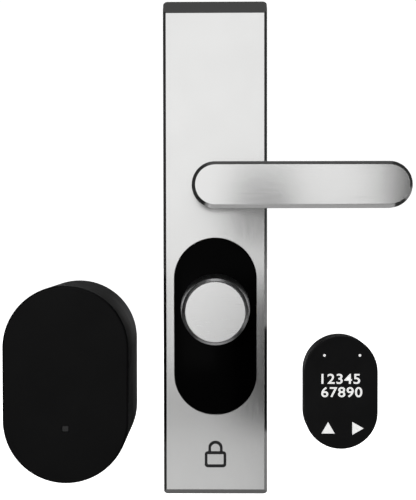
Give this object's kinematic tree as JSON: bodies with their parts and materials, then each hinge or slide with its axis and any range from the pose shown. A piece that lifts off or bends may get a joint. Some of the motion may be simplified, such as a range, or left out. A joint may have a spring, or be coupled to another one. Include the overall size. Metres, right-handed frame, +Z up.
{
  "type": "smart lock set",
  "caption": "Long steel door plate with lever handle and lock cylinder knob, a battery motor unit that turns the cylinder, and a wireless touch keypad.",
  "frame": {"origin": "middle of the long plate's back, on the door's face", "axes": "+Z up along the plate, +Y into the door, +X to the right as seen by a person facing the plate"},
  "size_m": [0.2276, 0.113, 0.3],
  "materials": {
    "brushed_steel": "brushed stainless steel, grain along the piece",
    "dark_steel": "turned and polished steel, dark reflections",
    "cast_zinc": "die-cast zinc, matt grey",
    "zinc_plated": "bright zinc plated steel",
    "brass": "machined brass",
    "spring_steel": "spring steel wire and strip",
    "black_gloss": "black glass and black acrylic, glossy",
    "black_satin": "satin black moulded plastic",
    "black_rubber": "soft black foam rubber",
    "white_plastic": "natural white acetal",
    "grey_plastic": "dark grey moulded plastic",
    "circuit_board": "green solder resist on glass-fibre board",
    "symbol_ink": "dark grey filled etching",
    "battery_wrap": "printed plastic film over a steel can",
    "light_lens": "smoked translucent plastic"
  },
  "bodies": {
    "door_side": {"front_plate": "brushed_steel", "backing_plate": "cast_zinc", "window_panel": "black_gloss", "lock_symbol": "symbol_ink", "fixing_post_upper": "zinc_plated", "fixing_post_lower": "zinc_plated", "through_bolt_upper": "zinc_plated", "through_bolt_lower": "zinc_plated", "cover_screw_1": "zinc_plated", "cover_screw_2": "zinc_plated", "cover_screw_3": "zinc_plated", "cover_screw_4": "zinc_plated", "lever_bush": "black_satin", "spring_housing": "cast_zinc", "return_spring": "spring_steel", "cylinder_body": "zinc_plated", "motor_base": "grey_plastic", "gear_chassis": "grey_plastic", "idler_axle": "zinc_plated", "drive_motor": "zinc_plated", "motor_board": "circuit_board", "battery_1": "battery_wrap", "battery_2": "battery_wrap", "battery_3": "battery_wrap", "battery_4": "battery_wrap", "motor_mount_screw_1": "zinc_plated", "motor_mount_screw_2": "zinc_plated", "motor_mount_screw_3": "zinc_plated", "keypad_seal": "black_rubber", "keypad_wall_plate": "black_satin", "wall_plate_screw_1": "zinc_plated", "wall_plate_screw_2": "zinc_plated"},
    "lever": {"lever_grip": "brushed_steel", "lever_neck": "brushed_steel", "lever_set_screw": "dark_steel", "spindle": "zinc_plated", "lever_circlip": "spring_steel", "spring_cam": "cast_zinc"},
    "knob": {"knob_sleeve": "dark_steel", "knob_cap": "brushed_steel", "knob_hub": "cast_zinc", "knob_screw": "zinc_plated", "cylinder_rotor": "brass", "cylinder_cam": "cast_zinc"},
    "motor_housing": {"motor_cover": "black_satin", "status_light": "light_lens"},
    "drive": {"drive_gear": "white_plastic", "drive_adapter": "zinc_plated"},
    "idler": {"idler_gear": "white_plastic"},
    "pinion": {"motor_pinion": "brass"},
    "keypad": {"keypad_glass": "black_gloss", "keypad_housing": "black_satin", "keypad_display": "black_gloss", "keypad_board": "circuit_board", "keypad_cell_frame": "grey_plastic", "coin_cell_1": "zinc_plated", "coin_cell_2": "zinc_plated"}
  },
  "joints": [
    {"name": "lever_turn", "type": "hinge", "parent": "door_side", "child": "lever", "pos_m": [0, 0, 0.036], "axis": [0, 1, 0], "range_deg": [0, 40], "stiffness_Nm_per_rad": 1.2, "springref_deg": -40.11, "deforming": ["return_spring"]},
    {"name": "knob_turn", "type": "hinge", "parent": "door_side", "child": "knob", "pos_m": [0, 0, -0.036], "axis": [0, 1, 0], "continuous": true},
    {"name": "motor_cover_pull", "type": "slide", "parent": "door_side", "child": "motor_housing", "axis": [0, -1, 0], "range_m": [0, 0.06]},
    {"name": "keypad_pull", "type": "slide", "parent": "door_side", "child": "keypad", "axis": [0, -1, 0], "range_m": [0, 0.02]},
    {"name": "drive_turn", "type": "hinge", "parent": "door_side", "child": "drive", "pos_m": [-0.0833, 0, -0.05485], "axis": [0, 1, 0], "continuous": true},
    {"name": "idler_turn", "type": "hinge", "parent": "door_side", "child": "idler", "pos_m": [-0.06776, 0, -0.07838], "axis": [0, 1, 0], "continuous": true},
    {"name": "motor_turn", "type": "hinge", "parent": "door_side", "child": "pinion", "pos_m": [-0.07801, 0, -0.09206], "axis": [0, 1, 0], "continuous": true}
  ],
  "couplings": [
    {"joint": "idler_turn", "follows": "drive_turn", "ratio": -3.2727},
    {"joint": "motor_turn", "follows": "drive_turn", "ratio": 9.1636}
  ]
}
